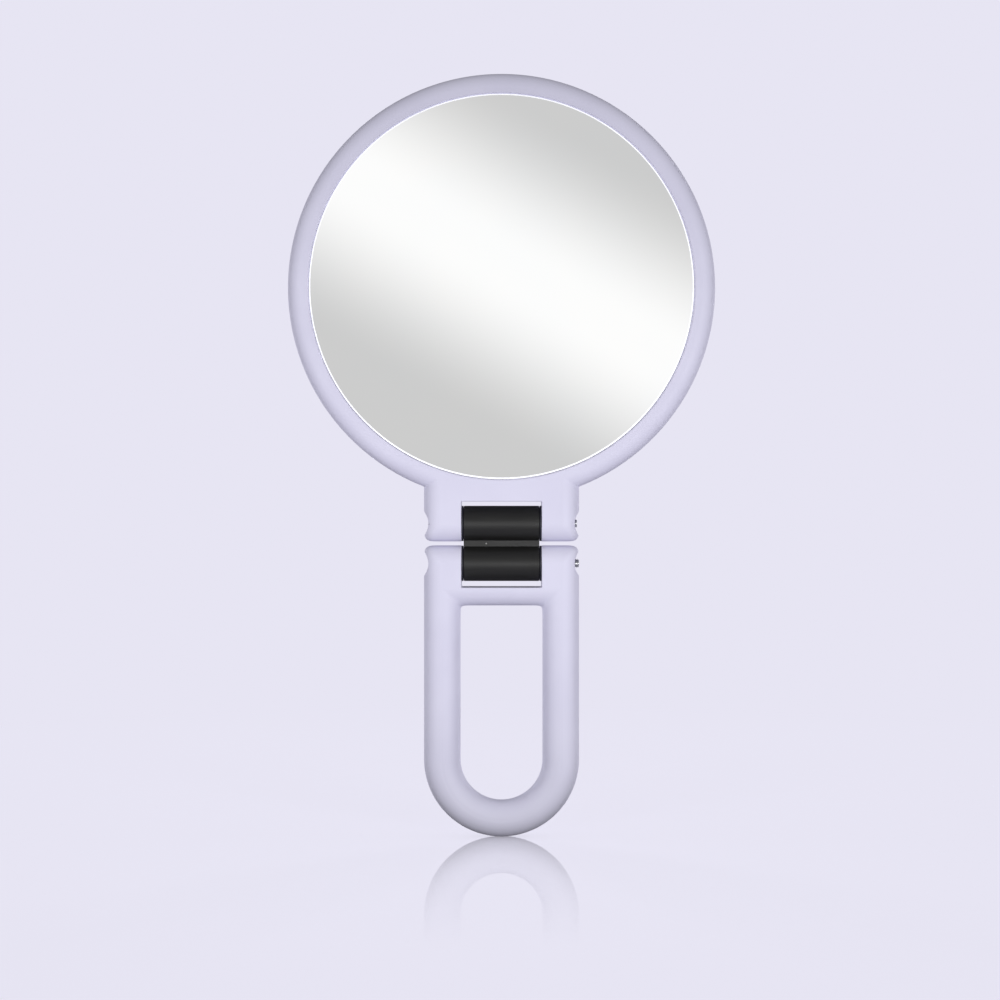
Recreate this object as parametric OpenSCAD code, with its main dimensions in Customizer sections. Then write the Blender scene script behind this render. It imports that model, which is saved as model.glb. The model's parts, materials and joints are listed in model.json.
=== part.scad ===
// Double-sided folding hand mirror, in millimetres.
// +Z runs up the mirror, the plain glass faces -Y and the magnifying glass faces +Y.
// The origin is under the middle of the handle, at its lowest point.

/* [Body] */
// Thickness of the ring, the neck and the handle, front to back
body_t = 12; // [11.8:0.1:13]
// Width of the neck and of the handle
grip_w = 50.9; // [48:0.1:56]
// Wall of the moulded shells round their hollow cores
wall_t = 1.8; // [1.6:0.1:2.2]

/* [Ring] */
// Outer diameter of the ring
head_d = 140; // [132:1:156]
// Width of the ring's face, from its outer edge to the glass opening
ring_w = 7; // [6.8:0.1:9]
// Radius that rounds the ring's outer edges
ring_edge_r = 5; // [4:0.1:5.2]
// Radius that rounds the lip of the glass opening
lip_r = 0.5; // [0.3:0.1:0.7]
// Height of the bridge between the hinge notch and the glass opening
bridge_h = 7.1; // [6.8:0.1:10]

/* [Glasses] */
// Thickness of both glasses
glass_t = 2; // [1.8:0.1:2.2]
// Gap between a glass and the wall of its opening
glass_gap = 0.2; // [0.1:0.05:0.8]
// Depth of a glass's edge below the ring's face
glass_sink = 0.5; // [0.4:0.1:0.8]
// Bevel ground along the edges of both glasses
arris = 0.5; // [0.2:0.1:0.8]
// Radius of curvature of the magnifying glass
magnifier_r = 600; // [540:10:900]
// Thickness of the foam tape under the plain glass, and under the rim of the magnifying glass
tape_t = 0.8; // [0.5:0.1:1]
// Width of the tape ring under the plain glass
tape_w = 10; // [6:0.5:20]
// Thickness of the floor and of the ledge that the tapes stick to
seat_t = 1.2; // [1:0.1:1.4]
// Width of the ledge under the magnifying glass
ledge_w = 6; // [5:0.5:9]

/* [Hinge] */
// Gap left between head and handle when they lie folded face to face
fold_gap = 1.1; // [0.8:0.1:2]
// How far the round ends of the ears stop short of a full radius about the axle
end_relief = 0.1; // [0.05:0.05:0.4]
// Radius of the ears' outer corners, seen from the front
ear_corner_r = 2.6; // [1.5:0.1:4]
// Width of the hinge link
link_w = 24.8; // [22:0.1:27]
// Diameter of the link's two barrels
barrel_d = 11.6; // [10.6:0.1:11.8]
// Thickness of the web between the barrels
web_t = 3; // [2:0.1:5]
// Bevel round the ends of the barrels
barrel_bevel = 0.3; // [0.2:0.1:0.6]
// From the upper axle up to the wall of the neck's notch
upper_notch = 7.2; // [6.8:0.1:9]
// From the lower axle down to the floor of the handle's notch
lower_notch = 7.7; // [6.8:0.1:10]
// Bevel along the front and rear edges of both notches
notch_bevel = 0.2; // [0.1:0.05:0.4]

/* [Handle] */
// From the loop's lowest point up to the lower axle
loop_len = 89.6; // [78:0.1:110]
// Height of the crossbar between the hinge notch and the finger loop
crossbar_h = 6.1; // [5:0.1:8]

/* [Axles] */
// Diameter of the axle screws
screw_d = 3; // [2.6:0.1:3.4]
// Radial clearance round the screws, in the ears and in the link
axle_gap = 0.05; // [0.02:0.01:0.1]
// How far the underside of the upper screw's head lies inside the neck's left side
head_in = 5.15; // [4.5:0.05:6]
// How far the upper screw's tip stays inside the neck's right side
upper_tip_in = 0.75; // [0.3:0.05:1.2]
// How far the lower screw's tip stays inside the handle's right side
lower_tip_in = 0.1; // [0.05:0.05:0.8]
// Length of thread that shows past the nuts
tip_out = 1.8; // [1:0.1:2.4]
// Length of the thread, back from the tip
thread_len = 8; // [6:0.5:12]
// Pitch of the thread
pitch = 0.5; // [0.4:0.05:0.7]
// Diameter of the screw heads
screw_head_d = 5.6; // [5:0.1:6.4]
// Height of the screw heads
screw_head_h = 2.2; // [1.8:0.1:2.6]
// Width across the cross-shaped recess in the screw heads
recess_w = 3.2; // [2.6:0.1:3.6]
// Depth of that recess
recess_depth = 1.2; // [0.8:0.1:1.4]
// Diameter of the pockets for the screw heads and the nuts
pocket_d = 8; // [7.6:0.1:8.6]
// Width of the nuts across their flats
nut_af = 5.5; // [5:0.1:5.8]
// Thickness of the nuts
nut_t = 2.4; // [2:0.1:2.6]
// Diameter of the flat washers
washer_d = 7; // [6:0.1:7.2]
// Thickness of the flat washers
washer_t = 0.5; // [0.4:0.1:0.7]
// Diameter of the spring washers
spring_washer_d = 5.6; // [5:0.1:6]
// Thickness of the spring washers
spring_washer_t = 0.8; // [0.6:0.1:1]
// Diameter of the friction washers beside the link
friction_washer_d = 11.6; // [9:0.1:11.8]
// Thickness of the friction washers
friction_washer_t = 0.6; // [0.4:0.1:0.8]
// Gap between a friction washer and the end of the link
washer_gap = 0.1; // [0.05:0.05:0.2]

/* [Pegs] */
// Diameter of the pegs that line up the two shells
peg_d = 1.6; // [1.4:0.1:1.8]
// Length of the pegs past the seam
peg_len = 2; // [1.5:0.1:2.4]
// Clearance round a peg and past its tip, in its socket
peg_gap = 0.05; // [0.03:0.01:0.1]
// Diameter of the pillars that carry the pegs through the hollow cores
pillar_d = 4.4; // [4.2:0.1:5]
// From the middle of the crossbar to each of its pegs
crossbar_peg_x = 8; // [4:0.5:10]
// From the edge of a pocket up to the peg above it
neck_peg_up = 4; // [3:0.5:5]

/* [Hidden] */

$fn = 96;
cut = 1;
sliver = 0.01;
least_side = 0.4;
thread_depth = 0.61 * pitch;
split_slant = 20;
recess_arm = recess_w / 4;
ring_peg_angles = [30, 90, 150, 210, 330];

half_t = body_t / 2;
half_w = grip_w / 2;

head_r = head_d / 2;
opening_r = head_r - ring_w;
glass_r = opening_r - glass_gap;
edge_r = min(ring_edge_r, (body_t - least_side) / 2);

lower_z = loop_len;
upper_z = lower_z + body_t + fold_gap;
head_z = upper_z + upper_notch + bridge_h + opening_r;
ear_reach = half_t - end_relief;
neck_end_z = upper_z - ear_reach;
neck_top_z = head_z - sqrt(opening_r * opening_r - half_w * half_w);
handle_end_z = lower_z + ear_reach;
crossbar_z = lower_z - lower_notch - crossbar_h;
loop_r = half_w - half_t;

ring_core_in = opening_r + wall_t;
ring_core_out = head_r - wall_t;
core_r = half_t - wall_t;

notch_w = link_w + 2 * (friction_washer_t + washer_gap);
bore_d = screw_d + 2 * axle_gap;
screw_len = grip_w - head_in - upper_tip_in;
upper_tip_x = half_w - upper_tip_in;
lower_tip_x = half_w - lower_tip_in;

glass_face = half_t - glass_sink;
floor_top = glass_face - glass_t - tape_t;
back_r = magnifier_r + glass_t;
curve_h = glass_face + sqrt(magnifier_r * magnifier_r - glass_r * glass_r);
ledge_top = curve_h - sqrt(back_r * back_r - glass_r * glass_r) - tape_t;
tape_inset = 1;
rim_tape_in = opening_r - ledge_w + tape_inset;
rim_tape_out = glass_r - tape_inset;
rim_tape_w = rim_tape_out - rim_tape_in;
rim_mid_r = (rim_tape_in + rim_tape_out) / 2;
rim_mid_h = sqrt(back_r * back_r - rim_mid_r * rim_mid_r);
rim_tape_top = curve_h - rim_mid_h;
rim_slope = rim_mid_r / rim_mid_h;

ring_peg_r = (ring_core_in + ring_core_out) / 2;
neck_peg = [(notch_w / 2 + half_w) / 2, upper_z + pocket_d / 2 + neck_peg_up];
ring_pegs = [
    for (a = ring_peg_angles)
        [ring_peg_r * cos(a), head_z + ring_peg_r * sin(a)]
];
head_pegs = concat(ring_pegs, [neck_peg, [-neck_peg[0], neck_peg[1]]]);
loop_pegs = [[0, half_t], [loop_r, lower_z / 2], [-loop_r, lower_z / 2]];
crossbar_peg_z = crossbar_z + crossbar_h / 2;
handle_pegs = concat(
    loop_pegs,
    [[crossbar_peg_x, crossbar_peg_z], [-crossbar_peg_x, crossbar_peg_z]]
);

lavender = [0.87, 0.86, 0.94];
black = [0.1, 0.1, 0.1];
silver = [0.8, 0.83, 0.84];
steel = [0.62, 0.62, 0.64];
grey = [0.45, 0.45, 0.47];
white = [0.92, 0.92, 0.9];

// Turns a shape drawn about Z so that its axis runs through the head's middle and its top faces the front
module on_head_front() {
    translate([0, 0, head_z])
        rotate([90, 0, 0])
            children();
}

// The same, with the top facing the rear
module on_head_rear() {
    to_rear()
        on_head_front()
            children();
}

// Turns a shape drawn about Z so that it runs along +X from x, at height z
module along_x(x, z) {
    translate([x, 0, z])
        rotate([0, 90, 0])
            children();
}

// Turns a shape drawn about Z so that it runs along +Y from y, over the point x, z
module along_y(x, y, z) {
    translate([x, y, z])
        rotate([-90, 0, 0])
            children();
}

// Keeps what lies in front of the seam
module front_half() {
    intersection() {
        children();
        translate([-head_d, -body_t, -cut])
            cube([2 * head_d, body_t, head_z + head_d]);
    }
}

// Turns a front half into the rear half
module to_rear() {
    mirror([0, 1, 0])
        children();
}

// A washer or spacer that stands on its lower face
module washer(outer_d, inner_d, h) {
    difference() {
        cylinder(d = outer_d, h = h);
        translate([0, 0, -cut])
            cylinder(d = inner_d, h = h + 2 * cut);
    }
}

// A block as wide as the grip with full-round sides, a round end at z_end and round front corners.
// It reaches from z_end to z_far, and side is +1 where the end faces up and -1 where it faces down.
module eared_block(z_end, z_far, side) {
    round_z = z_end - side * half_t;
    corner_z = z_end - side * ear_corner_r;
    z_low = min(z_end, z_far);
    h = abs(z_end - z_far);
    intersection() {
        translate([0, 0, z_low])
            linear_extrude(h)
                union() {
                    square([grip_w - body_t, body_t], center = true);
                    for (s = [-1, 1])
                        translate([s * loop_r, 0])
                            circle(d = body_t);
                }
        union() {
            along_x(-half_w - cut, round_z)
                cylinder(d = body_t, h = grip_w + 2 * cut);
            translate([-half_w - cut, -half_t, min(round_z, z_far)])
                cube([grip_w + 2 * cut, body_t, abs(round_z - z_far)]);
        }
        union() {
            translate([-half_w, -half_t - cut, min(corner_z, z_far)])
                cube([grip_w, body_t + 2 * cut, abs(corner_z - z_far)]);
            translate([-half_w + ear_corner_r, -half_t - cut, z_low])
                cube([grip_w - 2 * ear_corner_r, body_t + 2 * cut, h]);
            for (s = [-1, 1])
                along_y(s * (half_w - ear_corner_r), -half_t - cut, corner_z)
                    cylinder(r = ear_corner_r, h = body_t + 2 * cut);
        }
    }
}

// The notch for a barrel of the link: side is +1 where its wall lies above its mouth, with bevelled edges
module notch(z_wall, z_mouth, side) {
    a = notch_w / 2;
    b = notch_bevel;
    out = half_t + cut;
    intersection() {
        translate([0, 0, min(z_wall, z_mouth) - cut])
            linear_extrude(abs(z_wall - z_mouth) + 2 * cut + b)
                polygon([
                    [-a - b - cut, -out],
                    [a + b + cut, -out],
                    [a, b - half_t],
                    [a, half_t - b],
                    [a + b + cut, out],
                    [-a - b - cut, out],
                    [-a, half_t - b],
                    [-a, b - half_t],
                ]);
        translate([-a - b - 2 * cut, 0, 0])
            rotate([90, 0, 90])
                linear_extrude(2 * (a + b + 2 * cut))
                    polygon([
                        [-out, z_mouth - side * cut],
                        [-out, z_wall + side * (b + cut)],
                        [b - half_t, z_wall],
                        [half_t - b, z_wall],
                        [out, z_wall + side * (b + cut)],
                        [out, z_mouth - side * cut],
                    ]);
    }
}

// What an axle takes out of a pair of ears: its bore and the pockets at both ends
module axle_cuts(z, tip_x) {
    head_seat = tip_x - screw_len + washer_t;
    nut_seat = tip_x - tip_out - nut_t - spring_washer_t - washer_t;
    along_x(-half_w - cut, z)
        cylinder(d = bore_d, h = grip_w + 2 * cut);
    along_x(-half_w - cut, z)
        cylinder(d = pocket_d, h = head_seat + half_w + cut);
    along_x(nut_seat, z)
        cylinder(d = pocket_d, h = half_w - nut_seat + cut);
}

// Pillars in the front half of a hollow core, as deep as the core and a little into its wall
module pillars(places) {
    depth = core_r + wall_t / 2;
    for (p = places)
        along_y(p[0], -depth, p[1])
            cylinder(d = pillar_d, h = depth + cut);
}

// Pegs that stand out of the front shell
module pegs(places) {
    for (p = places)
        along_y(p[0], -wall_t, p[1])
            cylinder(d = peg_d, h = wall_t + peg_len);
}

// Their sockets, sunk into a front half that is then turned to the rear
module sockets(places) {
    depth = peg_len + peg_gap;
    for (p = places)
        along_y(p[0], -depth, p[1])
            cylinder(d = peg_d + 2 * peg_gap, h = depth + cut);
}

// The ring as a solid disc with rounded edges, drawn about Z with the seam at 0
module ring_disc() {
    rotate_extrude()
        union() {
            translate([0, -half_t])
                square([head_r - edge_r, body_t]);
            translate([0, edge_r - half_t])
                square([head_r, body_t - 2 * edge_r]);
            for (s = [-1, 1])
                translate([head_r - edge_r, s * (half_t - edge_r)])
                    circle(r = edge_r);
        }
}

// The opening for a glass above height h, with a rounded lip
module glass_opening(h) {
    translate([0, 0, h])
        cylinder(r = opening_r, h = half_t - h + cut);
    rotate_extrude()
        difference() {
            translate([opening_r - cut, half_t - lip_r])
                square([cut + lip_r, lip_r + cut]);
            translate([opening_r + lip_r, half_t - lip_r])
                circle(r = lip_r);
        }
}

// The hollow core in one half of the ring, above the seam
module ring_core() {
    rotate_extrude()
        intersection() {
            union() {
                translate([ring_core_in, 0])
                    square([max(head_r - edge_r - ring_core_in, sliver), half_t - wall_t]);
                translate([ring_core_in, 0])
                    square([ring_core_out - ring_core_in, half_t - edge_r]);
                translate([head_r - edge_r, half_t - edge_r])
                    circle(r = edge_r - wall_t);
            }
            translate([ring_core_in, 0])
                square([ring_w, body_t]);
        }
}

// The outside of the whole head: ring and neck in one, with the notch and the axle's holes cut
module head_form() {
    difference() {
        union() {
            on_head_front()
                ring_disc();
            eared_block(neck_end_z, neck_top_z, -1);
        }
        notch(upper_z + upper_notch, neck_end_z, 1);
        axle_cuts(upper_z, upper_tip_x);
    }
}

// One half of the head, hollowed, with a plate for a glass tape whose outer face is at height plate_top
module head_shell(plate_top) {
    difference() {
        front_half()
            head_form();
        on_head_front() {
            glass_opening(plate_top);
            translate([0, 0, -cut])
                cylinder(r = opening_r, h = plate_top - seat_t + cut);
        }
        difference() {
            on_head_front()
                ring_core();
            pillars(ring_pegs);
        }
    }
}

// Front half of the head, with the floor that carries the plain glass
module head_front_shell() color(lavender) {
    head_shell(floor_top);
    pegs(head_pegs);
}

// Rear half of the head, with the ledge that carries the magnifying glass
module head_rear_shell() color(lavender)
    to_rear()
        difference() {
            head_shell(ledge_top);
            on_head_front()
                cylinder(r = opening_r - ledge_w, h = body_t);
            sockets(head_pegs);
        }

// Flat glass with a ground bevel along both edges
module plain_mirror() color(silver)
    on_head_front()
        rotate_extrude()
            translate([0, glass_face - glass_t])
                polygon([
                    [0, 0],
                    [glass_r - arris, 0],
                    [glass_r, arris],
                    [glass_r, glass_t - arris],
                    [glass_r - arris, glass_t],
                    [0, glass_t],
                ]);

// Foam tape between the plain glass and its floor
module plain_mirror_tape() color(white)
    on_head_front()
        translate([0, 0, floor_top])
            washer(2 * (glass_r - tape_inset), 2 * (glass_r - tape_inset - tape_w), tape_t);

// Glass bent to a shallow bowl, of even thickness
module magnifying_mirror() color(silver)
    on_head_rear()
        rotate_extrude($fn = 720)
            difference() {
                intersection() {
                    polygon([
                        [0, glass_face - body_t],
                        [glass_r - arris, glass_face - glass_t - arris],
                        [glass_r, glass_face - glass_t],
                        [glass_r, glass_face - arris],
                        [glass_r - arris, glass_face],
                        [0, glass_face],
                    ]);
                    translate([0, curve_h])
                        circle(r = back_r);
                }
                translate([0, curve_h])
                    circle(r = magnifier_r);
            }

// Foam tape between the rim of the magnifying glass and its ledge, sloped to touch the glass's back
module magnifying_mirror_tape() color(white)
    on_head_rear()
        rotate_extrude()
            polygon([
                [rim_tape_in, ledge_top],
                [rim_tape_out, ledge_top],
                [rim_tape_out, rim_tape_top + rim_slope * rim_tape_w / 2],
                [rim_tape_in, rim_tape_top - rim_slope * rim_tape_w / 2],
            ]);

// One barrel of the link, drawn about Z
module barrel() {
    r = barrel_d / 2;
    b = barrel_bevel;
    rotate_extrude()
        polygon([[0, 0], [r - b, 0], [r, b], [r, link_w - b], [r - b, link_w], [0, link_w]]);
}

// Two barrels and the web that holds them apart
module hinge_link() color(black)
    difference() {
        union() {
            for (z = [lower_z, upper_z])
                along_x(-link_w / 2, z)
                    barrel();
            translate([-link_w / 2, -web_t / 2, lower_z])
                cube([link_w, web_t, upper_z - lower_z]);
        }
        for (z = [lower_z, upper_z])
            along_x(-link_w / 2 - cut, z)
                cylinder(d = bore_d, h = link_w + 2 * cut);
    }

// A pan-head screw whose tip is at tip_x, with the thread as grooves of the pitch
module axle_screw(z, tip_x) {
    head_r = screw_head_d / 2;
    top_r = screw_head_h / 2;
    shank_r = screw_d / 2;
    root_r = shank_r - thread_depth;
    turns = floor(thread_len / pitch);
    along_x(tip_x - screw_len, z) {
        difference() {
            rotate_extrude()
                union() {
                    translate([0, -top_r])
                        square([head_r, top_r]);
                    translate([0, -screw_head_h])
                        square([head_r - top_r, screw_head_h]);
                    translate([head_r - top_r, -top_r])
                        circle(r = top_r);
                }
            for (turn = [0, 90])
                rotate([0, 0, turn])
                    translate([0, 0, recess_depth / 2 - screw_head_h - cut / 2])
                        cube([recess_w, recess_arm, recess_depth + cut], center = true);
        }
        rotate_extrude()
            polygon(concat(
                [[0, 0], [shank_r, 0], [shank_r, screw_len - (turns + 0.5) * pitch]],
                [
                    for (i = [turns:-1:1])
                        for (p = [[root_r, i], [shank_r, i - 0.5]])
                            [p[0], screw_len - p[1] * pitch]
                ],
                [[root_r, screw_len], [0, screw_len]]
            ));
    }
}

// A hexagon nut with both faces chamfered, drawn about Z
module hex_nut() {
    corner_r = nut_af / sqrt(3);
    flat_r = nut_af / 2;
    slope = corner_r - flat_r;
    intersection() {
        cylinder(r = corner_r, h = nut_t, $fn = 6);
        rotate_extrude()
            polygon([
                [0, 0],
                [flat_r, 0],
                [corner_r + slope, slope],
                [corner_r + slope, nut_t - slope],
                [flat_r, nut_t],
                [0, nut_t],
            ]);
    }
}

// Drills a fastener about Z so that the screw passes with the axle's clearance
module drilled(h) {
    difference() {
        children();
        translate([0, 0, -cut])
            cylinder(d = bore_d, h = h + 2 * cut);
    }
}

// The nut of the axle whose tip is at tip_x
module axle_nut(z, tip_x) {
    along_x(tip_x - tip_out - nut_t, z)
        drilled(nut_t)
            hex_nut();
}

// The split washer that keeps the nut tight
module axle_spring_washer(z, tip_x) {
    along_x(tip_x - tip_out - nut_t - spring_washer_t, z)
        difference() {
            washer(spring_washer_d, bore_d, spring_washer_t);
            translate([0, 0, spring_washer_t / 2])
                rotate([split_slant, 0, 0])
                    translate([spring_washer_d / 2, 0, 0])
                        cube([spring_washer_d, spring_washer_t / 2, 3 * spring_washer_t], center = true);
        }
}

// The flat washer under the spring washer
module axle_nut_washer(z, tip_x) {
    along_x(tip_x - tip_out - nut_t - spring_washer_t - washer_t, z)
        washer(washer_d, bore_d, washer_t);
}

// The flat washer under the screw's head
module axle_head_washer(z, tip_x) {
    along_x(tip_x - screw_len, z)
        washer(washer_d, bore_d, washer_t);
}

// A friction washer against the left or right ear: side is -1 or +1
module friction_washer(z, side) {
    along_x(side < 0 ? -notch_w / 2 : notch_w / 2 - friction_washer_t, z)
        washer(friction_washer_d, bore_d, friction_washer_t);
}

module upper_screw() color(steel) axle_screw(upper_z, upper_tip_x);
module upper_head_washer() color(steel) axle_head_washer(upper_z, upper_tip_x);
module upper_left_friction_washer() color(grey) friction_washer(upper_z, -1);
module upper_right_friction_washer() color(grey) friction_washer(upper_z, 1);
module upper_nut_washer() color(steel) axle_nut_washer(upper_z, upper_tip_x);
module upper_spring_washer() color(steel) axle_spring_washer(upper_z, upper_tip_x);
module upper_nut() color(steel) axle_nut(upper_z, upper_tip_x);
module lower_screw() color(steel) axle_screw(lower_z, lower_tip_x);
module lower_head_washer() color(steel) axle_head_washer(lower_z, lower_tip_x);
module lower_left_friction_washer() color(grey) friction_washer(lower_z, -1);
module lower_right_friction_washer() color(grey) friction_washer(lower_z, 1);
module lower_nut_washer() color(steel) axle_nut_washer(lower_z, lower_tip_x);
module lower_spring_washer() color(steel) axle_spring_washer(lower_z, lower_tip_x);
module lower_nut() color(steel) axle_nut(lower_z, lower_tip_x);

// The round bar of the finger loop: two legs and the arc between them
module loop_bar(r) {
    translate([0, 0, half_w])
        rotate([-90, 0, 0])
            rotate_extrude(angle = 180)
                translate([loop_r, 0])
                    circle(r = r);
    for (s = [-1, 1])
        translate([s * loop_r, 0, half_w])
            cylinder(r = r, h = crossbar_z + half_t - half_w);
}

// The outside of the whole handle, with the notch and the axle's holes cut
module handle_form() {
    difference() {
        union() {
            eared_block(handle_end_z, crossbar_z + half_t, 1);
            along_x(-loop_r, crossbar_z + half_t)
                cylinder(d = body_t, h = 2 * loop_r);
            loop_bar(half_t);
        }
        notch(lower_z - lower_notch, handle_end_z, -1);
        axle_cuts(lower_z, lower_tip_x);
    }
}

// The hollow core of the loop, which ends below the crossbar
module loop_core() {
    intersection() {
        loop_bar(core_r);
        translate([-half_w, -half_t, 0])
            cube([grip_w, body_t, crossbar_z]);
    }
}

// One half of the handle, hollowed
module handle_shell() {
    difference() {
        front_half()
            handle_form();
        difference() {
            loop_core();
            pillars(loop_pegs);
        }
    }
}

module handle_front_shell() color(lavender) {
    handle_shell();
    pegs(handle_pegs);
}

module handle_rear_shell() color(lavender)
    to_rear()
        difference() {
            handle_shell();
            sockets(handle_pegs);
        }

head_front_shell();
head_rear_shell();
plain_mirror();
plain_mirror_tape();
magnifying_mirror();
magnifying_mirror_tape();
hinge_link();
upper_screw();
upper_head_washer();
upper_left_friction_washer();
upper_right_friction_washer();
upper_nut_washer();
upper_spring_washer();
upper_nut();
lower_screw();
lower_head_washer();
lower_left_friction_washer();
lower_right_friction_washer();
lower_nut_washer();
lower_spring_washer();
lower_nut();
handle_front_shell();
handle_rear_shell();
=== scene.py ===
import bpy
import json
import math
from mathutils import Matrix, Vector


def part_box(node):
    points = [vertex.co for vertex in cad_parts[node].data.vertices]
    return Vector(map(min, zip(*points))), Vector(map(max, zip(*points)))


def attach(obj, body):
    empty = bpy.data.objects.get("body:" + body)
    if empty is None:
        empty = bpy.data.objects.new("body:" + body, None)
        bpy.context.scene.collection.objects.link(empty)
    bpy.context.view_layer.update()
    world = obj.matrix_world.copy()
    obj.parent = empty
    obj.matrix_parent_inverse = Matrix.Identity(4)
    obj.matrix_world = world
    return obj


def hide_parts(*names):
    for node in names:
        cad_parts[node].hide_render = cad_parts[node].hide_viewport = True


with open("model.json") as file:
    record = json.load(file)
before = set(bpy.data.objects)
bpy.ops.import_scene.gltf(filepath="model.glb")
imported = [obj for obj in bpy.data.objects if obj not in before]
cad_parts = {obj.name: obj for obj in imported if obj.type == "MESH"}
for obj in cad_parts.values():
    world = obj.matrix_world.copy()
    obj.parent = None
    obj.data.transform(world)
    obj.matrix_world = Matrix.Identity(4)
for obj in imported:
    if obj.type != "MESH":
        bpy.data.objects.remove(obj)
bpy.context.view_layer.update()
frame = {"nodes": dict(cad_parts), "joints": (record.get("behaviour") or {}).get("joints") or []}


# The handle is a round finger loop under two ears, moulded as a front and a rear half of lavender plastic.
# The halves are glued along the seam, and a soft-touch paint covers them. Their edges are a little rounded,
# as a mould leaves them, so that the seam shows as a fine groove round the handle.
moulded_round = 0.00015
sharp_from = math.radians(28)
smooth_below = math.radians(40)
level_within = math.radians(0.1)
weld = 1e-6
handle_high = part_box("handle_front_shell")[1]
side_r = -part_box("head_front_shell")[0].y
leg_x = handle_high.x - side_r
crossbar_z = 0.0818
corner_softness = 5
inner_corner_softness = 10
inner_reach = 1.7 * side_r
near_round = 0.98 * side_r
flat_front = 0.999
blend_step = 0.0005
lavender = (0.715, 0.702, 0.850, 1)
lavender_shade = (0.690, 0.676, 0.826, 1)


def finish_of(name, roughness, metallic=0.0, specular=0.5):
    """A new material whose shader has these even values, and the shader."""
    material = bpy.data.materials.new(name)
    material.use_nodes = True
    shader = material.node_tree.nodes["Principled BSDF"]
    shader.inputs["Roughness"].default_value = roughness
    shader.inputs["Metallic"].default_value = metallic
    shader.inputs["Specular IOR Level"].default_value = specular
    return material, shader


def grain(material, size, detail=2, stretch=(1, 1, 1)):
    """Noise with marks about that size in metres, drawn out along the axes where stretch is above 1."""
    nodes, links = material.node_tree.nodes, material.node_tree.links
    place = nodes.new("ShaderNodeTexCoord")
    mapping = nodes.new("ShaderNodeMapping")
    mapping.inputs["Scale"].default_value = [1 / (size * s) for s in stretch]
    noise = nodes.new("ShaderNodeTexNoise")
    noise.inputs["Scale"].default_value = 1
    noise.inputs["Detail"].default_value = detail
    links.new(place.outputs["Object"], mapping.inputs["Vector"])
    links.new(mapping.outputs["Vector"], noise.inputs["Vector"])
    return noise.outputs["Fac"]


def vary(material, socket, marks, low, high):
    """Feeds a number of the shader from marks, between low and high."""
    span = material.node_tree.nodes.new("ShaderNodeMapRange")
    span.inputs["From Min"].default_value = 0.3
    span.inputs["From Max"].default_value = 0.7
    span.inputs["To Min"].default_value = low
    span.inputs["To Max"].default_value = high
    material.node_tree.links.new(marks, span.inputs["Value"])
    material.node_tree.links.new(span.outputs["Result"], socket)


def tint(material, socket, marks, first, second):
    """Feeds a colour of the shader from marks, between two colours."""
    ramp = material.node_tree.nodes.new("ShaderNodeValToRGB")
    ramp.color_ramp.elements[0].position = 0.35
    ramp.color_ramp.elements[1].position = 0.65
    ramp.color_ramp.elements[0].color = first
    ramp.color_ramp.elements[1].color = second
    material.node_tree.links.new(marks, ramp.inputs["Fac"])
    material.node_tree.links.new(ramp.outputs["Color"], socket)


def relief(material, shader, marks, depth):
    """Raises the surface with marks, by about that depth in metres."""
    bump = material.node_tree.nodes.new("ShaderNodeBump")
    bump.inputs["Distance"].default_value = depth
    material.node_tree.links.new(marks, bump.inputs["Height"])
    material.node_tree.links.new(bump.outputs["Normal"], shader.inputs["Normal"])


def soft_touch_paint():
    material, shader = finish_of("lavender_soft_touch_paint", roughness=0.55, specular=0.35)
    tint(material, shader.inputs["Base Color"], grain(material, size=0.02), lavender, lavender_shade)
    vary(material, shader.inputs["Roughness"], grain(material, size=0.004, detail=4), low=0.50, high=0.60)
    relief(material, shader, grain(material, size=0.00012), depth=0.000002)
    return material


def pick(piece):
    """Leaves this piece alone selected and active."""
    bpy.ops.object.select_all(action="DESELECT")
    piece.select_set(True)
    bpy.context.view_layer.objects.active = piece


def apply(piece, kind, **settings):
    """Puts a modifier with these settings on the piece and applies it."""
    pick(piece)
    modifier = piece.modifiers.new(kind.lower(), kind)
    for name, value in settings.items():
        setattr(modifier, name, value)
    bpy.ops.object.modifier_apply(modifier=modifier.name)


def shade(piece):
    """Smooths the shading over low edges and keeps the flat faces flat to the eye."""
    pick(piece)
    bpy.ops.object.shade_smooth_by_angle(angle=smooth_below)
    apply(piece, "WEIGHTED_NORMAL", mode="FACE_AREA", keep_sharp=True)


def round_edges(piece, width, segments=2):
    """Rounds the sharp edges of the piece and shades it."""
    apply(
        piece, "BEVEL", width=width, segments=segments, limit_method="ANGLE", angle_limit=sharp_from,
        use_clamp_overlap=False, miter_outer="MITER_ARC",
    )
    shade(piece)


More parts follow.
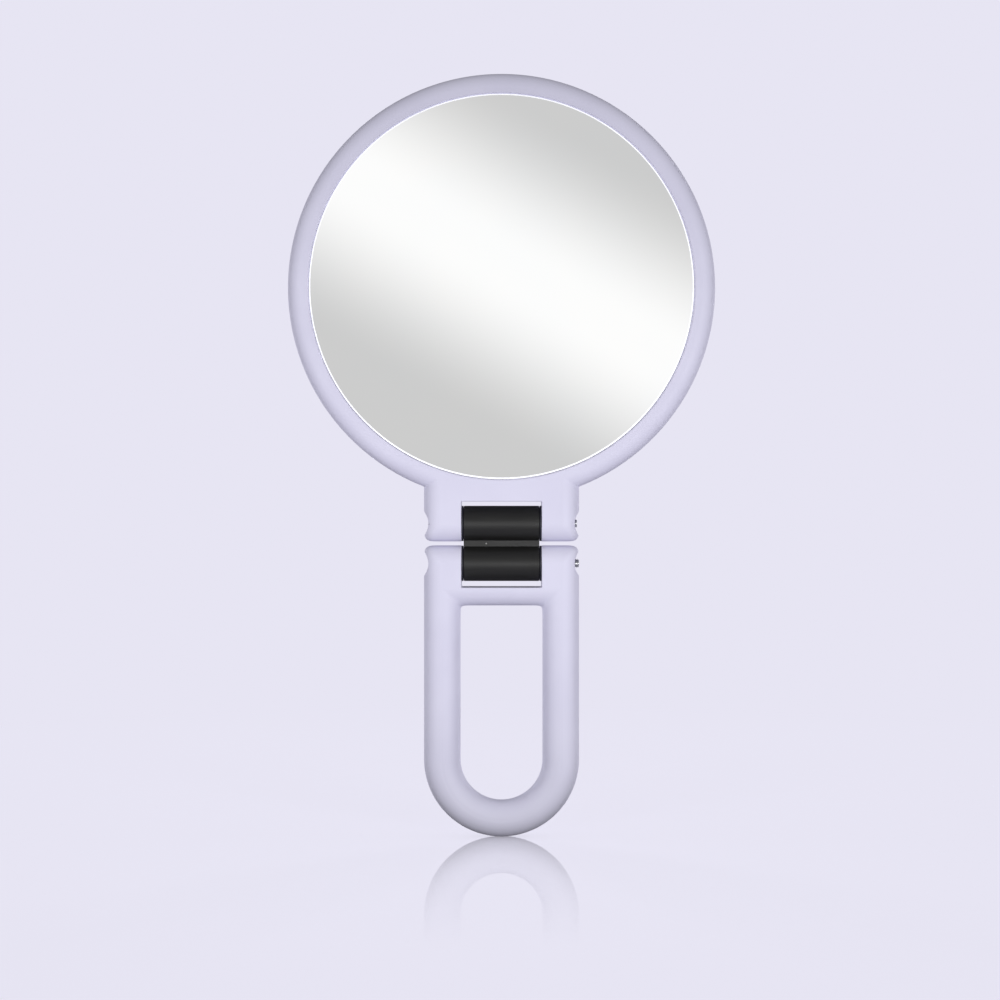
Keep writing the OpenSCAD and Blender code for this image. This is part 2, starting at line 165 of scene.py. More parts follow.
def blend_mitres(piece, bar_z, out, up, softness):
    """Blends the round side of each leg into the round side of a bar that crosses it at height bar_z.

    The blend lies outwards and upwards of both axes where out and up are 1, and inwards or downwards where
    they are -1. A negative softness fills an inner corner, and a positive one eases an outer corner.
    """
    reach = side_r if softness > 0 else inner_reach

    def place(co):
        return out * (abs(co.x) - leg_x), up * (co.z - bar_z)

    near = [-weld < min(place(v.co)) and max(place(v.co)) < reach + weld for v in piece.data.vertices]
    for face in piece.data.polygons:
        face.select = abs(face.normal.y) < flat_front and any(near[i] for i in face.vertices)
    pick(piece)
    bpy.ops.object.mode_set(mode="EDIT")
    bpy.ops.mesh.hide(unselected=True)
    for step in range(int(reach / blend_step) + 1):
        away = step * blend_step
        cuts = [((0, 0, bar_z + up * away), (0, 0, 1)), ((0, -away, 0), (0, 1, 0)), ((0, away, 0), (0, 1, 0))]
        cuts += [((side * (leg_x + out * away), 0, 0), (1, 0, 0)) for side in (-1, 1)]
        for middle, normal in cuts:
            bpy.ops.mesh.select_all(action="SELECT")
            bpy.ops.mesh.bisect(plane_co=middle, plane_no=normal)
    bpy.ops.mesh.reveal(select=False)
    bpy.ops.mesh.select_all(action="DESELECT")
    bpy.ops.object.mode_set(mode="OBJECT")
    for vertex in piece.data.vertices:
        beside, above = place(vertex.co)
        if min(beside, above) < weld or max(beside, above) > reach:
            continue
        front = vertex.co.y
        hard = math.hypot(max(beside, above) if softness > 0 else min(beside, above), front)
        soft = math.hypot((beside ** softness + above ** softness) ** (1 / softness), front)
        if (softness > 0 and soft > side_r) or (softness < 0 and hard > near_round):
            middle = Vector((math.copysign(leg_x, vertex.co.x), 0, bar_z))
            vertex.co = middle + (vertex.co - middle) * side_r / soft


def dress(piece, node, body, slot, *materials):
    """Gives a finished piece its materials, and has it stand for a node of the frame and move with a body."""
    piece.data.materials.clear()
    for material in materials:
        piece.data.materials.append(material)
    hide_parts(node)
    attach(piece, body)


def moulded_half(name, node, body, mitres):
    """A half of the head or of the handle, from the frame's shell: mitres are what blend_mitres is told."""
    mesh = frame["nodes"][node].data.copy()
    piece = bpy.data.objects.new(name, mesh)
    bpy.context.scene.collection.objects.link(piece)
    pick(piece)
    bpy.ops.mesh.customdata_custom_splitnormals_clear()
    bpy.ops.object.mode_set(mode="EDIT")
    bpy.ops.mesh.select_all(action="SELECT")
    bpy.ops.mesh.remove_doubles(threshold=weld)
    bpy.ops.mesh.dissolve_limited(angle_limit=level_within)
    bpy.ops.mesh.select_all(action="DESELECT")
    bpy.ops.object.mode_set(mode="OBJECT")
    for mitre in mitres:
        blend_mitres(piece, *mitre)
    round_edges(piece, moulded_round)
    dress(piece, node, body, "soft_touch_plastic", shell_paint)


shell_paint = soft_touch_paint()
handle_mitres = [
    (handle_high.z - side_r, 1, 1, corner_softness),
    (crossbar_z, -1, -1, -inner_corner_softness),
]
moulded_half("handle_front_moulding", "handle_front_shell", "handle", handle_mitres)
moulded_half("handle_rear_moulding", "handle_rear_shell", "handle", handle_mitres)


# The link is one black acetal moulding, two barrels that turn on the axles and a web between them.
# It is satin from the tool, with faint flow lines along the barrels. The pale stub where its gate was cut off
# still stands on the front of the web.
link_low, link_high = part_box("hinge_link")
barrel_r = link_high.y
link_w = link_high.x - link_low.x
web_t = 0.003
barrel_round = 0.0003
axle_d = 0.003
bore_r = 0.00155
gate_x = -0.0050
gate_r = 0.00035
gate_h = 0.0002
axle_z = {j["name"].split("_")[0]: j["pos_m"][2] for j in frame["joints"]}
axle_gap = axle_z["upper"] - axle_z["lower"]
web_z = (axle_z["lower"] + axle_z["upper"]) / 2
along_x = (math.pi / 2, 0, math.pi / 2)
acetal_black, acetal_flow = (0.008, 0.008, 0.008, 1), (0.012, 0.012, 0.011, 1)
stub_grey, stub_pale = (0.30, 0.30, 0.29, 1), (0.42, 0.42, 0.40, 1)


def acetal():
    material, shader = finish_of("black_acetal", roughness=0.45, specular=0.4)
    flow = grain(material, size=0.0002, detail=3, stretch=(40, 1, 1))
    tint(material, shader.inputs["Base Color"], flow, acetal_black, acetal_flow)
    vary(material, shader.inputs["Roughness"], flow, low=0.41, high=0.49)
    relief(material, shader, grain(material, size=0.00015), depth=0.000002)
    return material


def cut_plastic():
    material, shader = finish_of("cut_acetal", roughness=0.6)
    tint(material, shader.inputs["Base Color"], grain(material, size=0.0001), stub_grey, stub_pale)
    relief(material, shader, grain(material, size=0.00005), depth=0.00001)
    return material


def combine(piece, other, operation):
    """Joins, cuts or trims the piece with another, which is used up."""
    apply(piece, "BOOLEAN", object=other, operation=operation, solver="EXACT")
    bpy.data.objects.remove(other)


def bar(name, x_low, x_high, radius, z, sides=128):
    """A round bar along X over the height z, closed at both ends."""
    bpy.ops.mesh.primitive_cylinder_add(
        vertices=sides, radius=radius, depth=x_high - x_low,
        location=((x_low + x_high) / 2, 0, z), rotation=along_x,
    )
    piece = bpy.context.object
    piece.name = name
    bpy.ops.object.transform_apply()
    return piece


link = bar("link_moulding", link_low.x, link_high.x, barrel_r, axle_z["lower"])
round_edges(link, barrel_round, segments=3)
upper_barrel = bpy.data.objects.new("upper_barrel", link.data.copy())
bpy.context.scene.collection.objects.link(upper_barrel)
upper_barrel.location.z = axle_gap
combine(link, upper_barrel, "UNION")
bpy.ops.mesh.primitive_cube_add(size=1, location=(0, 0, web_z))
web = bpy.context.object
bpy.ops.transform.resize(value=(link_w, web_t, axle_gap))
bpy.ops.object.transform_apply()
round_edges(web, barrel_round, segments=3)
combine(link, web, "UNION")
for z in axle_z.values():
    combine(link, bar("bore", link_low.x - link_w, link_high.x + link_w, bore_r, z, sides=64), "DIFFERENCE")
shade(link)
bpy.ops.mesh.primitive_cone_add(
    vertices=24, radius1=gate_r, radius2=gate_r / 2, depth=2 * gate_h,
    location=(gate_x, -web_t / 2, web_z), rotation=(math.pi / 2, 0, 0),
)
gate = bpy.context.object
bpy.ops.object.transform_apply()
gate_faces = len(gate.data.polygons)
pick(gate)
link.select_set(True)
bpy.context.view_layer.objects.active = link
bpy.ops.object.join()
dress(link, "hinge_link", "link", "black_plastic", acetal(), cut_plastic())
for face in link.data.polygons[-gate_faces:]:
    face.material_index = 1


# Each axle is a pan-head steel screw with a cross recess, zinc plated. Its thread is rolled, a true helix
# with a chamfered tip. The screw of the upper axle is the same, and sits a little further in.
screw_low, screw_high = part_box("lower_screw")
head_h = 0.0022
head_r = screw_high.y
shank_r = axle_d / 2
head_round = head_h / 2
thread_len = 0.008
pitch = 0.0005
thread_depth = 0.61 * pitch
core_r = shank_r - thread_depth
ridge_foot = 0.8 * pitch
ridge_sunk = 0.1 * pitch
ridge_taper = 0.25
dome_steps = 6
tip_chamfer = 0.0003
recess_w = 0.0032
recess_t = 0.0008
recess_depth = 0.0012
recess_taper = 0.55
coil_steps = 48
zinc_dull, zinc_bright = (0.46, 0.47, 0.50, 1), (0.56, 0.56, 0.57, 1)


def zinc_steel():
    material, shader = finish_of("zinc_plated_steel", roughness=0.3, metallic=1.0)
    plating = grain(material, size=0.0006, detail=3)
    tint(material, shader.inputs["Base Color"], plating, zinc_dull, zinc_bright)
    vary(material, shader.inputs["Roughness"], grain(material, size=0.0003), low=0.22, high=0.36)
    relief(material, shader, grain(material, size=0.00006), depth=0.0000005)
    return material


def turned(name, x_stations, z, sides=64):
    """A closed shape turned about an axle: stations are (x, radius), from one end to the other."""
    x, radius = x_stations[0]
    bpy.ops.mesh.primitive_circle_add(
        vertices=sides, radius=radius, fill_type="NGON", location=(x, 0, z), rotation=along_x
    )
    piece = bpy.context.object
    piece.name = name
    bpy.ops.object.transform_apply()
    bpy.ops.object.mode_set(mode="EDIT")
    bpy.ops.mesh.select_all(action="SELECT")
    for next_x, next_radius in x_stations[1:]:
        bpy.ops.mesh.extrude_region_move(TRANSFORM_OT_translate={"value": (next_x - x, 0, 0)})
        swell = next_radius / radius
        bpy.ops.transform.resize(value=(1, swell, swell), center_override=(next_x, 0, z))
        x, radius = next_x, next_radius
    bpy.ops.mesh.select_all(action="SELECT")
    bpy.ops.mesh.normals_make_consistent(inside=False)
    bpy.ops.object.mode_set(mode="OBJECT")
    return piece


def coil(name, x, z, section_w, inner_r, outer_r, rise, angle, rounds=1, taper=1.0):
    """A bar of square section wound about an axle, starting at x: its outer side is taper times as wide."""
    bpy.ops.mesh.primitive_plane_add(size=1, location=(x, 0, z), rotation=(math.pi / 2, 0, 0))
    piece = bpy.context.object
    piece.name = name
    bpy.ops.object.transform_apply(location=False)
    bpy.ops.object.mode_set(mode="EDIT")
    bpy.ops.transform.resize(value=(section_w, 1, outer_r - inner_r), center_override=(x, 0, z))
    bpy.ops.transform.translate(value=(0, 0, (inner_r + outer_r) / 2))
    bpy.ops.object.mode_set(mode="OBJECT")
    for vertex in piece.data.vertices:
        vertex.select = vertex.co.z > (inner_r + outer_r) / 2
    bpy.ops.object.mode_set(mode="EDIT")
    bpy.ops.transform.resize(value=(taper, 1, 1), center_override=(x, 0, z))
    bpy.ops.mesh.select_all(action="SELECT")
    bpy.ops.mesh.delete(type="ONLY_FACE")
    bpy.ops.object.mode_set(mode="OBJECT")
    apply(
        piece, "SCREW", axis="X", angle=angle, screw_offset=rise, iterations=rounds, steps=coil_steps,
        render_steps=coil_steps, use_merge_vertices=False,
    )
    bpy.ops.object.transform_apply()
    bpy.ops.object.mode_set(mode="EDIT")
    bpy.ops.mesh.select_all(action="SELECT")
    bpy.ops.mesh.fill_holes(sides=4)
    bpy.ops.mesh.select_all(action="SELECT")
    bpy.ops.mesh.normals_make_consistent(inside=False)
    bpy.ops.object.mode_set(mode="OBJECT")
    return piece


def on_upper_axle(piece, name, node, lower_node):
    """A copy of a piece of the lower axle, with its own mesh, where the same node of the upper axle is."""
    twin = piece.copy()
    twin.data = piece.data.copy()
    twin.name = name
    twin.parent = None
    bpy.context.scene.collection.objects.link(twin)
    twin.matrix_world.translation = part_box(node)[0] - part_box(lower_node)[0]
    pick(twin)
    bpy.ops.object.transform_apply()
    return twin


def fasten(lower_piece, kind, slot, material, angle=35):
    """Finishes a piece of the lower axle, and adds its twin on the upper one."""
    twin = on_upper_axle(lower_piece, "upper_" + kind, "upper_" + node_of[kind], "lower_" + node_of[kind])
    for piece, axle, body in ((lower_piece, "lower_", "handle"), (twin, "upper_", "head")):
        pick(piece)
        bpy.ops.object.shade_smooth_by_angle(angle=math.radians(angle))
        dress(piece, axle + node_of[kind], body, slot, material)


node_of = {
    "axle_screw": "screw",
    "hex_nut": "nut",
    "split_washer": "spring_washer",
    "head_side_washer": "head_washer",
    "nut_side_washer": "nut_washer",
    "left_nylon_washer": "left_friction_washer",
    "right_nylon_washer": "right_friction_washer",
}
steel = zinc_steel()
z = axle_z["lower"]
under_head = screw_low.x + head_h
thread_from = screw_high.x - thread_len
dome = [
    (screw_low.x + head_round * (1 - math.cos(a)), head_r - head_round * (1 - math.sin(a)))
    for a in [math.pi / 2 * i / dome_steps for i in range(dome_steps + 1)]
]
screw = turned(
    "lower_axle_screw",
    dome + [(under_head, head_r), (under_head + weld, shank_r), (thread_from, shank_r),
            (thread_from + thread_depth, core_r), (screw_high.x, core_r)],
    z,
)
ridge = coil(
    "thread", thread_from, z, ridge_foot, core_r - ridge_sunk, shank_r, pitch, 2 * math.pi,
    rounds=round(thread_len / pitch), taper=ridge_taper,
)
blank = turned(
    "blank",
    [(thread_from, shank_r), (screw_high.x - tip_chamfer, shank_r), (screw_high.x, shank_r - tip_chamfer)],
    z,
)
combine(ridge, blank, "INTERSECT")
combine(screw, ridge, "UNION")
for turn in (0, math.pi / 2):
    bpy.ops.mesh.primitive_cube_add(size=1, location=(screw_low.x, 0, z), rotation=(turn, 0, 0))
    blade = bpy.context.object
    blade.scale = (2 * recess_depth, recess_w, recess_t)
    bpy.ops.object.transform_apply()
    for vertex in blade.data.vertices:
        vertex.select = vertex.co.x > screw_low.x
    bpy.ops.object.mode_set(mode="EDIT")
    bpy.ops.transform.resize(
        value=(1, recess_taper, recess_taper), center_override=(screw_low.x + recess_depth, 0, z)
    )
    bpy.ops.object.mode_set(mode="OBJECT")
    combine(screw, blade, "DIFFERENCE")
fasten(screw, "axle_screw", "zinc_steel", steel)


# The nuts are hexagons with both faces chamfered and the hole countersunk, of the same plated steel.
# Under each lies a split spring washer, cut slantwise, and a flat washer that spares the plastic.
# Another flat washer lies under the screw's head. All are punched or coiled, with slightly rounded edges.
nut_low, nut_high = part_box("lower_nut")
nut_flat_r = nut_high.y
nut_corner_r = nut_flat_r / math.cos(math.pi / 6)
nut_chamfer = nut_corner_r - nut_flat_r
countersink = 0.0003
split_gap = math.radians(14)
split_rise = 0.0001
punched_round = 0.00006
washer_steps = 96


def washer(name, node, inner_r, round_by):
    """A flat ring along X where the node is, turned from its rounded section."""
    low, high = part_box(node)
    outer_r = high.y
    x, z = (low.x + high.x) / 2, (low.z + high.z) / 2
    bpy.ops.mesh.primitive_plane_add(size=1, location=(x, 0, z), rotation=(math.pi / 2, 0, 0))
    piece = bpy.context.object
    piece.name = name
    bpy.ops.object.transform_apply()
    bpy.ops.object.mode_set(mode="EDIT")
    bpy.ops.transform.resize(value=(high.x - low.x, 1, outer_r - inner_r), center_override=(x, 0, z))
    bpy.ops.transform.translate(value=(0, 0, (inner_r + outer_r) / 2))
    bpy.ops.mesh.bevel(affect="VERTICES", offset=round_by, segments=3)
    bpy.ops.mesh.select_all(action="SELECT")
    bpy.ops.mesh.delete(type="ONLY_FACE")
    bpy.ops.mesh.select_all(action="SELECT")
    bpy.ops.mesh.spin(steps=washer_steps, angle=2 * math.pi, center=(x, 0, z), axis=(1, 0, 0))
    bpy.ops.mesh.select_all(action="SELECT")
    bpy.ops.mesh.remove_doubles(threshold=weld)
    bpy.ops.mesh.normals_make_consistent(inside=False)
    bpy.ops.object.mode_set(mode="OBJECT")
    return piece


nut = bar("lower_hex_nut", nut_low.x, nut_high.x, nut_corner_r, z, sides=6)
wide = nut_corner_r + nut_chamfer
combine(
    nut,
    turned(
        "chamfer",
        [(nut_low.x, nut_flat_r), (nut_low.x + nut_chamfer, wide),
         (nut_high.x - nut_chamfer, wide), (nut_high.x, nut_flat_r)],
        z,
    ),
    "INTERSECT",
)
combine(
    nut,
    turned(
        "hole",
        [(nut_low.x - countersink, bore_r + 2 * countersink), (nut_low.x + countersink, bore_r),
         (nut_high.x - countersink, bore_r), (nut_high.x + countersink, bore_r + 2 * countersink)],
        z,
    ),
    "DIFFERENCE",
)
fasten(nut, "hex_nut", "zinc_steel", steel)

split_low, split_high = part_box("lower_spring_washer")
split_w = split_high.x - split_low.x - split_rise
split = coil(
    "lower_split_washer", split_low.x + split_w / 2, z, split_w, bore_r, split_high.y, split_rise,
    2 * math.pi - split_gap,
)
fasten(split, "split_washer", "zinc_steel", steel)
for kind in ("head_side_washer", "nut_side_washer"):
    flat = washer("lower_" + kind, "lower_" + node_of[kind], bore_r, punched_round)
    fasten(flat, kind, "zinc_steel", steel)


# A dark nylon washer lies between each ear and the link, and gives the hinge its drag.
# They are punched from sheet, and show as a thin bluish strip at both ends of each barrel.
nylon_round = 0.0001
nylon_dark, nylon_blue = (0.012, 0.012, 0.022, 1), (0.018, 0.018, 0.03, 1)


def nylon():
    material, shader = finish_of("dark_nylon", roughness=0.5, specular=0.4)
    tint(material, shader.inputs["Base Color"], grain(material, size=0.0008), nylon_dark, nylon_blue)
    relief(material, shader, grain(material, size=0.0001), depth=0.000002)
    return material


washer_nylon = nylon()
for kind in ("left_nylon_washer", "right_nylon_washer"):
    flat = washer("lower_" + kind, "lower_" + node_of[kind], bore_r, nylon_round)
    fasten(flat, kind, "washer_plastic", washer_nylon)


# The head is a round frame on a short neck with two ears, moulded in a front and a rear half like the handle.
# The neck runs into the frame without a step. The same paint covers both.
head_mitres = [(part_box("head_front_shell")[0].z + side_r, 1, -1, corner_softness)]
moulded_half("head_front_moulding", "head_front_shell", "head", head_mitres)
moulded_half("head_rear_moulding", "head_rear_shell", "head", head_mitres)


# The plain mirror is a disc of 2 mm float glass, silvered and painted grey on its back.
# Its edge is ground all round, a frosted line just inside the frame, kept bright by a painted glow:
# the rim's material gives off light of its own. Foam tape holds it to the front half.
plain_low, plain_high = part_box("plain_mirror")
glass_r = plain_high.x
glass_t = plain_high.y - plain_low.y
head_z = (plain_low.z + plain_high.z) / 2
ground_edge = 0.0005
painted_edge_glow = 0.35
smooth_glass = math.radians(20)
silver_cool, silver_warm = (0.925, 0.93, 0.93, 1), (0.935, 0.935, 0.93, 1)
ground_green, ground_white = (0.93, 0.95, 0.95, 1), (0.98, 0.99, 0.99, 1)
backing_dark, backing_grey = (0.20, 0.21, 0.23, 1), (0.24, 0.25, 0.27, 1)
foam_shade, foam_white = (0.78, 0.78, 0.76, 1), (0.90, 0.90, 0.88, 1)


def silvering():
    material, shader = finish_of("silvered_glass", roughness=0.0, metallic=1.0)
    tint(material, shader.inputs["Base Color"], grain(material, size=0.03), silver_cool, silver_warm)
    return material


def ground_glass():
    material, shader = finish_of("ground_glass_edge", roughness=0.45)
    tint(material, shader.inputs["Base Color"], grain(material, size=0.0005), ground_green, ground_white)
    relief(material, shader, grain(material, size=0.00008), depth=0.000003)
    # The rim gives off light of its own: a painted highlight along the ground edge, not light that the glass
    # leads to it.
    shader.inputs["Emission Color"].default_value = (1, 1, 1, 1)
    shader.inputs["Emission Strength"].default_value = painted_edge_glow
    return material


def backing_paint():
    material, shader = finish_of("grey_backing_paint", roughness=0.6)
    tint(material, shader.inputs["Base Color"], grain(material, size=0.003), backing_dark, backing_grey)
    relief(material, shader, grain(material, size=0.0007), depth=0.00001)
    return material


def foam_tape():
    material, shader = finish_of("white_foam_tape", roughness=0.85, specular=0.2)
    tint(material, shader.inputs["Base Color"], grain(material, size=0.0004), foam_shade, foam_white)
    relief(material, shader, grain(material, size=0.0003), depth=0.00008)
    return material


def pane(name, stations):
    """A round pane on the head's axis: stations are (y, radius), from the middle of its face to its back."""
    y, radius = stations[0]
    bpy.ops.mesh.primitive_circle_add(
        vertices=256, radius=radius, fill_type="NGON", location=(0, y, head_z), rotation=(math.pi / 2, 0, 0)
    )
    piece = bpy.context.object
    piece.name = name
    bpy.ops.object.transform_apply()
    bpy.ops.object.mode_set(mode="EDIT")
    bpy.ops.mesh.select_all(action="SELECT")
    for next_y, next_radius in stations[1:]:
        bpy.ops.mesh.extrude_region_move(TRANSFORM_OT_translate={"value": (0, next_y - y, 0)})
        swell = next_radius / radius
        bpy.ops.transform.resize(value=(swell, 1, swell), center_override=(0, next_y, head_z))
        y, radius = next_y, next_radius
    bpy.ops.mesh.select_all(action="SELECT")
    bpy.ops.mesh.normals_make_consistent(inside=False)
    bpy.ops.object.mode_set(mode="OBJECT")
    return piece


def finish_glass(piece, node, front_side):
    """Gives the face its silver, the rim its ground finish with a painted glow, and the back its paint."""
    dress(piece, node, "head", "silvered_glass", silver, rim_glass_painted_glow, back_paint)
    for face in piece.data.polygons:
        out = math.hypot(face.center.x, face.center.z - head_z)
        if out > glass_r - ground_edge:
            face.material_index = 1
        elif face.normal.y * front_side < 0:
            face.material_index = 2
    pick(piece)
    bpy.ops.object.shade_smooth_by_angle(angle=smooth_glass)


def finish_tape(node):
    """Gives a tape of the frame its foam."""
    frame["nodes"][node].data.materials.clear()
    frame["nodes"][node].data.materials.append(tape)


silver = silvering()
rim_glass_painted_glow = ground_glass()
back_paint = backing_paint()
tape = foam_tape()
plain = pane(
    "plain_mirror_pane",
    [
        (plain_low.y, glass_r / 2),
        (plain_low.y, glass_r - ground_edge),
        (plain_low.y + ground_edge, glass_r),
        (plain_high.y - ground_edge, glass_r),
        (plain_high.y, glass_r - ground_edge),
        (plain_high.y, glass_r / 2),
    ],
)
finish_glass(plain, "plain_mirror", -1)
finish_tape("plain_mirror_tape")


# The magnifying mirror is the same glass, slumped to a shallow bowl before it was silvered.
# Its hollow side faces the rear, and foam tape under its rim holds it to the ledge of the rear half.
rim_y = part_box("magnifying_mirror")[1].y
bowl_r = 0.6
bowl_rings = 40


def bowl_depth(radius, curve):
    """How far a sphere of that curve has fallen from its middle at this radius."""
    return curve - math.sqrt(curve * curve - radius * radius)


middle_y = rim_y - bowl_depth(glass_r, bowl_r)
inner_rings = [glass_r * i / bowl_rings for i in range(1, bowl_rings)]
face_rings = [(middle_y + bowl_depth(r, bowl_r), r) for r in inner_rings]
back_rings = [(middle_y - glass_t + bowl_depth(r, bowl_r + glass_t), r) for r in reversed(inner_rings)]
edge_rings = [
    (rim_y, glass_r - ground_edge),
    (rim_y - ground_edge, glass_r),
    (rim_y - glass_t, glass_r),
]
bowl = pane("magnifying_mirror_pane", face_rings + edge_rings + back_rings)
finish_glass(bowl, "magnifying_mirror", 1)
finish_tape("magnifying_mirror_tape")


# The stage is a pale lavender floor under an even background of the same colour, polished near the object, so
# that the loop is mirrored in it for a short way. A wall round it, striped in front and seen only in
# reflections, gives the mirrors something to show. Satin surfaces see all of it dimmed.
background = (0.798, 0.783, 0.896, 1)
floor_size = 12
polish_r = 0.16
polish = 0.5
shadow_r = 0.4
shadow_share = 0.3
floor_light = 0.445
foot_r = 0.085
foot_fade = 2.5
wall_r = 1.5
wall_h = 1.3
wall_fade = (1.3, 1.7)
stripe_slope = math.radians(30)
stripes = 8
stripe_x = 0.0113
stripe_z = 0.360
stripe_white = 0.015
stripe_grey = 0.164
bright, dim = 1.05, 0.65
satin_sees = 0.4
ambient_level = 0.3


def chain(nodes, links, operation, first, second=None):
    """One step of arithmetic in a material of the stage."""
    step = nodes.new("ShaderNodeMath")
    step.operation = operation
    for socket, value in zip(step.inputs, (first, second)):
        if isinstance(value, (int, float)):
            socket.default_value = value
        elif value is not None:
            links.new(value, socket)
    return step.outputs[0]


def blend(nodes, links, factor, first, second):
    """One shader fading into another."""
    mix = nodes.new("ShaderNodeMixShader")
    links.new(factor, mix.inputs[0])
    links.new(first.outputs[0], mix.inputs[1])
    links.new(second.outputs[0], mix.inputs[2])
    return mix


def glow(nodes, links, colour, strength, kind="ShaderNodeEmission"):
    """A shader that shines evenly."""
    light = nodes.new(kind)
    light.inputs["Color"].default_value = colour
    if isinstance(strength, (int, float)):
        light.inputs["Strength"].default_value = strength
    else:
        links.new(strength, light.inputs["Strength"])
    return light


def reflected_level(nodes, links, path):
    """Full for what mirrors show and for what the camera sees, and dimmed for the sheen of satin surfaces."""
    satin = chain(nodes, links, "SUBTRACT", path.outputs["Is Glossy Ray"], path.outputs["Is Singular Ray"])
    satin = chain(nodes, links, "MAXIMUM", satin, 0)
    return chain(nodes, links, "SUBTRACT", 1, chain(nodes, links, "MULTIPLY", satin, 1 - satin_sees))


def stage_material(name):
    """An empty material with its ways in: where a point is, by which ray it is seen, and its output.

    Its glow is for what looks at it, and isn't sampled as a lamp.
    """
    material = bpy.data.materials.new(name)
    material.use_nodes = True
    material.cycles.emission_sampling = "NONE"
    nodes, links = material.node_tree.nodes, material.node_tree.links
    nodes.clear()
    place = nodes.new("ShaderNodeTexCoord")
    apart = nodes.new("ShaderNodeSeparateXYZ")
    links.new(place.outputs["Object"], apart.inputs[0])
    out = nodes.new("ShaderNodeOutputMaterial")
    return material, nodes, links, apart.outputs, nodes.new("ShaderNodeLightPath"), out.inputs["Surface"]


def floor_finish():
    """Even but for the object's shadow and mirror image, and dark to light that bounces near its foot."""
    material, nodes, links, (x, y, up), path, surface = stage_material("polished_pale_floor")
    x_squared = chain(nodes, links, "POWER", x, 2)
    y_squared = chain(nodes, links, "POWER", y, 2)
    away = chain(nodes, links, "SQRT", chain(nodes, links, "ADD", x_squared, y_squared))

    def near(radius, level):
        inside = chain(nodes, links, "SUBTRACT", 1, chain(nodes, links, "DIVIDE", away, radius))
        return chain(nodes, links, "MULTIPLY", chain(nodes, links, "MAXIMUM", inside, 0), level)

    def matt(level):
        paint = nodes.new("ShaderNodeBsdfDiffuse")
        paint.inputs["Color"].default_value = [c * level for c in background[:3]] + [1]
        return paint

    even = glow(nodes, links, background, reflected_level(nodes, links, path))
    mirror = nodes.new("ShaderNodeBsdfGlossy")
    mirror.inputs["Color"].default_value = (1, 1, 1, 1)
    mirror.inputs["Roughness"].default_value = 0
    seen = chain(nodes, links, "MAXIMUM", path.outputs["Is Camera Ray"], path.outputs["Is Glossy Ray"])
    bounce = blend(nodes, links, near(foot_r, foot_fade), matt(1), matt(0))
    visible = blend(nodes, links, near(shadow_r, shadow_share), even, matt(1 / floor_light))
    base = blend(nodes, links, seen, bounce, visible)
    shine = chain(nodes, links, "MULTIPLY", near(polish_r, polish), path.outputs["Is Camera Ray"])
    links.new(blend(nodes, links, shine, base, mirror).outputs[0], surface)
    return material


def wall_finish():
    """Slanting soft stripes in front, which fade into the background's colour at the sides."""
    material, nodes, links, (x, y, up), path, surface = stage_material("striped_reflector")
    turn = chain(nodes, links, "ARCTAN2", x, chain(nodes, links, "MULTIPLY", y, -1))
    round_wall = chain(nodes, links, "SUBTRACT", chain(nodes, links, "MULTIPLY", turn, wall_r), stripe_x)
    up_wall = chain(nodes, links, "SUBTRACT", up, stripe_z)
    sideways = chain(nodes, links, "MULTIPLY", round_wall, math.sin(stripe_slope))
    upwards = chain(nodes, links, "MULTIPLY", up_wall, math.cos(stripe_slope))
    across = chain(nodes, links, "ADD", sideways, upwards)
    spacing = 2 * math.pi * wall_r / stripes * math.sin(stripe_slope)

    def fade(value, low, high, start, end):
        span = nodes.new("ShaderNodeMapRange")
        span.interpolation_type = "SMOOTHSTEP"
        for socket, number in zip(span.inputs[1:5], (low, high, start, end)):
            socket.default_value = number
        links.new(value, span.inputs["Value"])
        return span.outputs["Result"]

    level = reflected_level(nodes, links, path)
    wave = chain(nodes, links, "PINGPONG", across, spacing / 2)
    stripe = fade(wave, stripe_white, stripe_grey, bright, dim)
    striped = glow(nodes, links, (1, 1, 1, 1), chain(nodes, links, "MULTIPLY", stripe, level))
    even = glow(nodes, links, background, level)
    behind = fade(chain(nodes, links, "ABSOLUTE", turn), *wall_fade, 0, 1)
    links.new(blend(nodes, links, behind, striped, even).outputs[0], surface)
    return material


bpy.ops.mesh.primitive_plane_add(size=floor_size)
floor = bpy.context.object
floor.name = "floor"
floor.data.materials.append(floor_finish())
bpy.ops.mesh.primitive_cylinder_add(vertices=128, radius=wall_r, depth=wall_h, end_fill_type="NOTHING")
wall = bpy.context.object
wall.name = "reflector_wall"
bpy.ops.transform.translate(value=(0, 0, wall_h / 2))
bpy.ops.object.transform_apply()
wall.data.materials.append(wall_finish())
for way in ("camera", "diffuse", "transmission", "shadow"):
    setattr(wall, "visible_" + way, False)

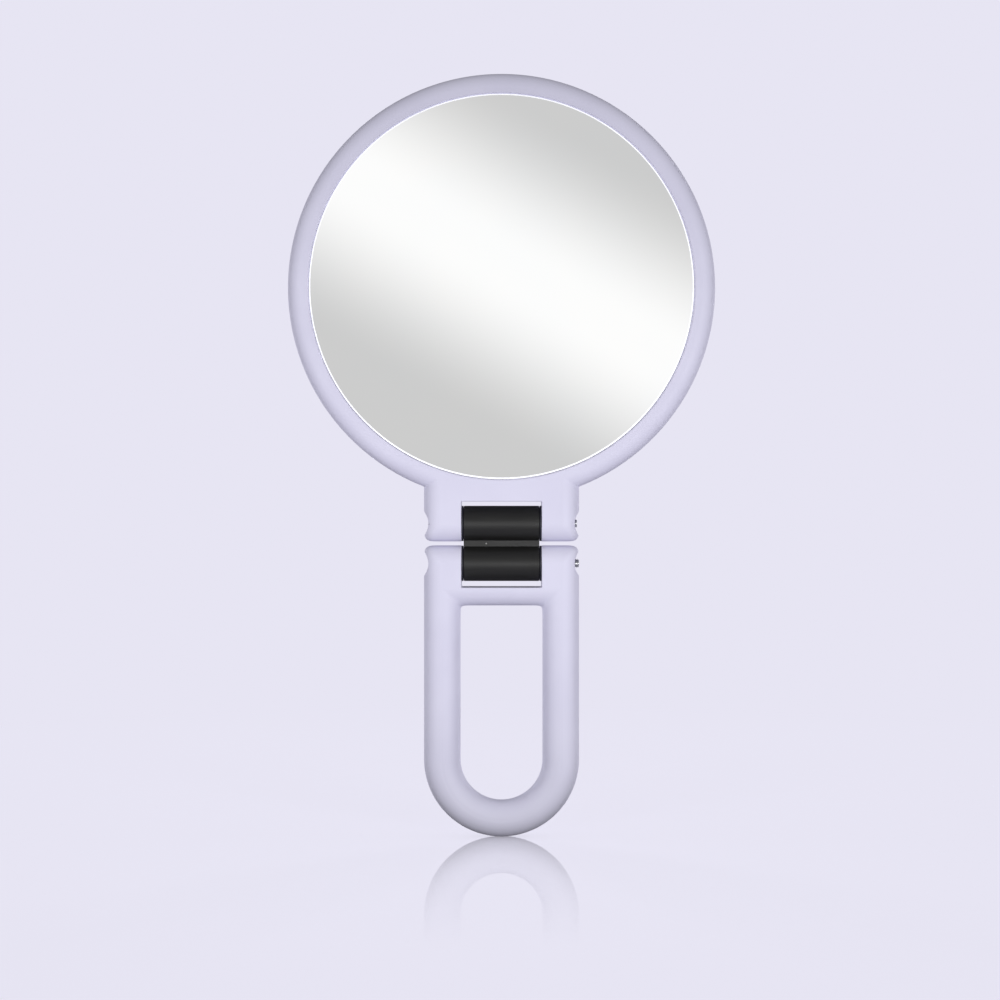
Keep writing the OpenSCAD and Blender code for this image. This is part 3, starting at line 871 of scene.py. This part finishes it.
world = bpy.data.worlds.new("studio")
bpy.context.scene.world = world
world.use_nodes = True
nodes, links = world.node_tree.nodes, world.node_tree.links
path = nodes.new("ShaderNodeLightPath")
ambient = glow(nodes, links, (1, 1, 1, 1), ambient_level, "ShaderNodeBackground")
shown = glow(nodes, links, background, reflected_level(nodes, links, path), "ShaderNodeBackground")
seen = chain(nodes, links, "MAXIMUM", path.outputs["Is Camera Ray"], path.outputs["Is Glossy Ray"])
seen = chain(nodes, links, "MAXIMUM", seen, path.outputs["Is Transmission Ray"])
links.new(blend(nodes, links, seen, ambient, shown).outputs[0], nodes["World Output"].inputs["Surface"])


# Two softboxes stand left and right of the camera, the right one a little stronger, with narrow beams at the
# hinge, so that the ring's top and the loop's foot are a little darker. A low strip light lies under the
# camera. Two more softboxes light the rear side, and no mirror and no polish shows them.
softboxes = {
    # x, y and z, width and height, watts, beam in degrees, height it is aimed at
    "key_left": ((-0.70, -1.00, 0.12), (0.28, 0.28), 0.18, 33, 0.080),
    "key_right": ((0.70, -1.00, 0.12), (0.28, 0.28), 0.245, 33, 0.080),
    "strip": ((0.00, -0.75, 0.045), (0.50, 0.07), 0.07, 40, 0.11),
    "rear_left": ((-0.80, 1.10, 0.15), (0.35, 0.35), 5.5, 150, 0.15),
    "rear_right": ((0.80, 1.10, 0.15), (0.35, 0.35), 5.5, 150, 0.15),
}
aim_x = -0.012

for name, (place, size, watts, beam, aim_z) in softboxes.items():
    lamp = bpy.data.lights.new(name, "AREA")
    lamp.shape = "RECTANGLE"
    lamp.size, lamp.size_y = size
    lamp.energy = watts
    lamp.spread = math.radians(beam)
    stand = bpy.data.objects.new(name, lamp)
    bpy.context.scene.collection.objects.link(stand)
    stand.location = place
    stand.rotation_euler = (Vector((aim_x, 0, aim_z)) - stand.location).to_track_quat("-Z", "Y").to_euler()
    stand.visible_camera = False
    stand.visible_glossy = not name.startswith("rear")


# The camera looks straight along +Y at the height of the hinge, as in the photograph. The width of what it
# shows at the object sets its lens.
camera_distance = 0.65
camera_x = -0.0005
camera_z = 0.1104
frame_width = 0.3284
lens = bpy.data.cameras.new("camera")
lens.lens = lens.sensor_width * camera_distance / frame_width
camera = bpy.data.objects.new("camera", lens)
bpy.context.scene.collection.objects.link(camera)
camera.location = (camera_x, -camera_distance, camera_z)
camera.rotation_euler = (math.pi / 2, 0, 0)
bpy.context.scene.camera = camera
bpy.context.scene.view_settings.view_transform = "Standard"
